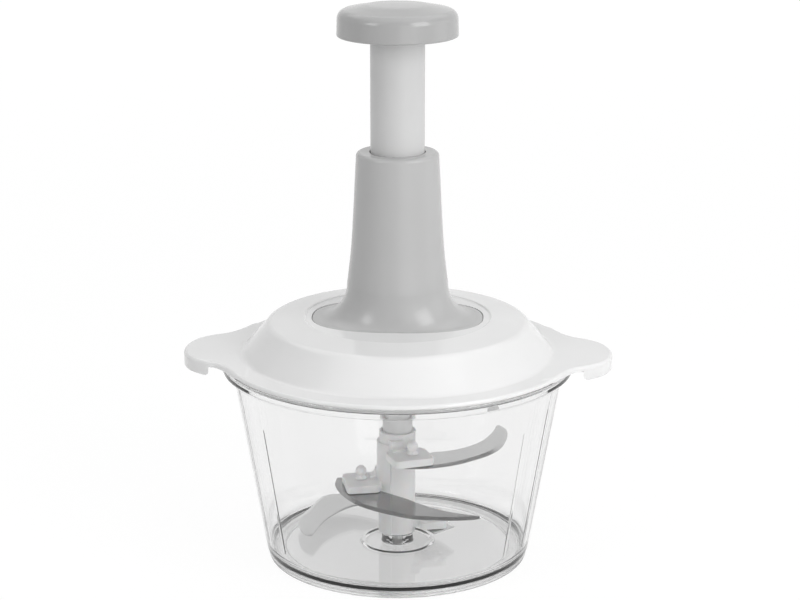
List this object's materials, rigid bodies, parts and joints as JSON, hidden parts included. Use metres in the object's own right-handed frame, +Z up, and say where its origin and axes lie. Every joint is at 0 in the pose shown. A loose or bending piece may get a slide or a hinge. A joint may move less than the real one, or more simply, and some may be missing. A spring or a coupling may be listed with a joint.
{
  "type": "manual food chopper",
  "caption": "Press-down food chopper: a palm knob on a sprung twisted-strip drive spins staggered sickle blades in a clear tapered bowl under an eared lid.",
  "frame": {"origin": "centre of the base, on the surface that the foot ring stands on", "axes": "+Z up through the knob, +X towards one ear of the lid, -Y to the front"},
  "size_m": [0.208, 0.1714, 0.2716],
  "materials": {
    "clear_plastic": "clear, polished",
    "clear_rubber": "clear, soft",
    "white_plastic": "gloss",
    "hub_plastic": "satin",
    "grey_plastic": "satin gloss",
    "tube_plastic": "satin",
    "seal_rubber": "matte",
    "blade_steel": "satin, ground edges",
    "machined_steel": "machined",
    "spring_steel": "drawn wire"
  },
  "bodies": {
    "bowl": {"bowl": "clear_plastic", "foot_ring": "clear_rubber", "pivot_pin": "machined_steel"},
    "blades": {"blade_hub": "hub_plastic", "upper_blade": "blade_steel", "middle_blade": "blade_steel", "lower_blade": "blade_steel", "blade_stake_1": "hub_plastic", "blade_stake_2": "hub_plastic", "blade_stake_3": "hub_plastic"},
    "lid": {"lid_shell": "white_plastic", "lid_base": "white_plastic", "lid_seal": "seal_rubber", "base_screw_1": "machined_steel", "base_screw_2": "machined_steel", "base_screw_3": "machined_steel", "base_screw_4": "machined_steel", "tower": "grey_plastic", "tower_screw_1": "machined_steel", "tower_screw_2": "machined_steel", "tower_screw_3": "machined_steel", "tower_screw_4": "machined_steel", "guide_bush": "white_plastic", "spindle_bush": "white_plastic", "clutch_housing": "white_plastic"},
    "plunger": {"plunger_tube": "tube_plastic", "knob_cap": "grey_plastic", "knob_base": "grey_plastic", "knob_screw": "machined_steel", "drive_nut": "machined_steel", "nut_pin_1": "machined_steel", "nut_pin_2": "machined_steel", "return_spring": "spring_steel"},
    "screw": {"drive_strip": "machined_steel", "ratchet_driver": "grey_plastic", "driver_pin": "machined_steel"},
    "spindle": {"output_spindle": "grey_plastic", "spindle_clip": "spring_steel"}
  },
  "joints": [
    {"name": "blade_spin", "type": "hinge", "parent": "bowl", "child": "blades", "pos_m": [0, 0, 0.01], "axis": [0, 0, 1], "range_deg": [-720, 0]},
    {"name": "lid_lift", "type": "slide", "parent": "bowl", "child": "lid", "axis": [0, 0, 1], "range_m": [0, 0.12]},
    {"name": "press", "type": "slide", "parent": "lid", "child": "plunger", "axis": [0, 0, -1], "range_m": [0, 0.052], "stiffness_N_per_m": 250, "springref_m": -0.01, "deforming": ["return_spring"]},
    {"name": "screw_turn", "type": "hinge", "parent": "lid", "child": "screw", "pos_m": [0, 0, 0.11], "axis": [0, 0, 1], "range_deg": [-720, 0]},
    {"name": "spindle_turn", "type": "hinge", "parent": "lid", "child": "spindle", "pos_m": [0, 0, 0.1], "axis": [0, 0, 1], "range_deg": [-720, 0]}
  ],
  "couplings": [
    {"joint": "screw_turn", "follows": "press", "rad_per_m": -241.66},
    {"joint": "spindle_turn", "follows": "press", "rad_per_m": -241.66},
    {"joint": "blade_spin", "follows": "press", "rad_per_m": -241.66}
  ]
}
